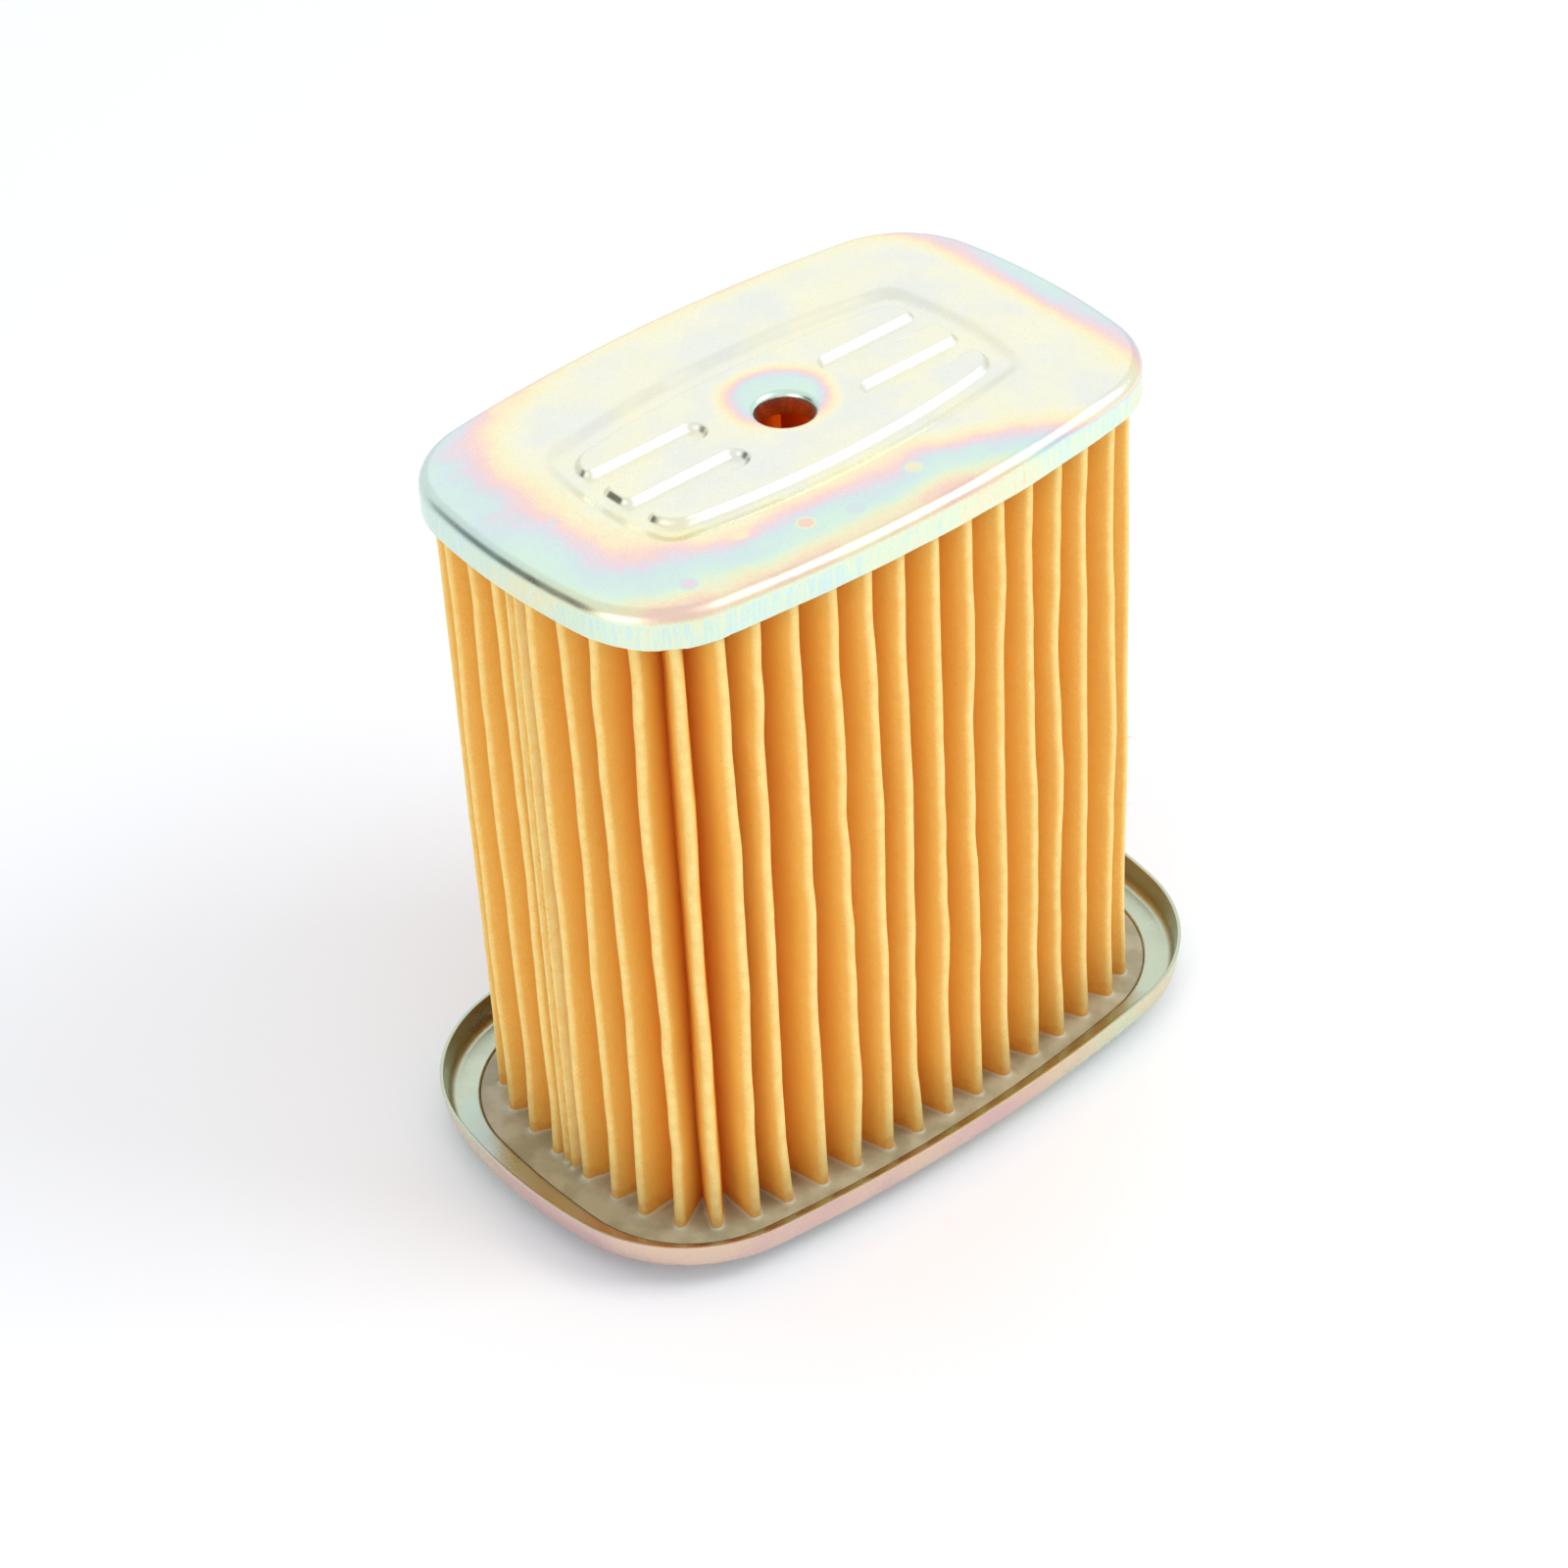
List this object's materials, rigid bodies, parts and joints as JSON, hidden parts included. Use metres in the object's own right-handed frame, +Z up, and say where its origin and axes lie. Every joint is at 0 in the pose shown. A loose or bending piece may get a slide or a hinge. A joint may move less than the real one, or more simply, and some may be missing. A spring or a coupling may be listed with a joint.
{
  "type": "motorcycle air filter element",
  "caption": "Oblong pleated paper air filter element potted between an embossed plated steel cap with a stud hole and a rimmed steel tray with a clean air outlet.",
  "frame": {"origin": "centre of the sealing gasket's underside, under the stud hole", "axes": "+X along the element's long side, +Y along its short side, +Z up out of the cap along the stud hole"},
  "size_m": [0.1174, 0.075, 0.1144],
  "materials": {
    "chromated_steel": "zinc plated sheet steel with an iridescent yellow chromate, semi-bright",
    "filter_paper": "resin-treated orange-yellow filter paper, matt and fibrous",
    "potting_compound": "cured khaki plastisol, slightly glossy",
    "seam_glue": "hot-melt glue, translucent amber",
    "gasket_rubber": "die-cut soft rubber sheet",
    "adhesive_film": "contact adhesive"
  },
  "bodies": {
    "root": {"top_cap": "chromated_steel", "base_tray": "chromated_steel", "pleated_paper": "filter_paper", "paper_seam": "seam_glue", "cap_sealant": "potting_compound", "tray_sealant": "potting_compound", "sealing_gasket": "gasket_rubber", "gasket_adhesive": "adhesive_film"}
  },
  "joints": []
}
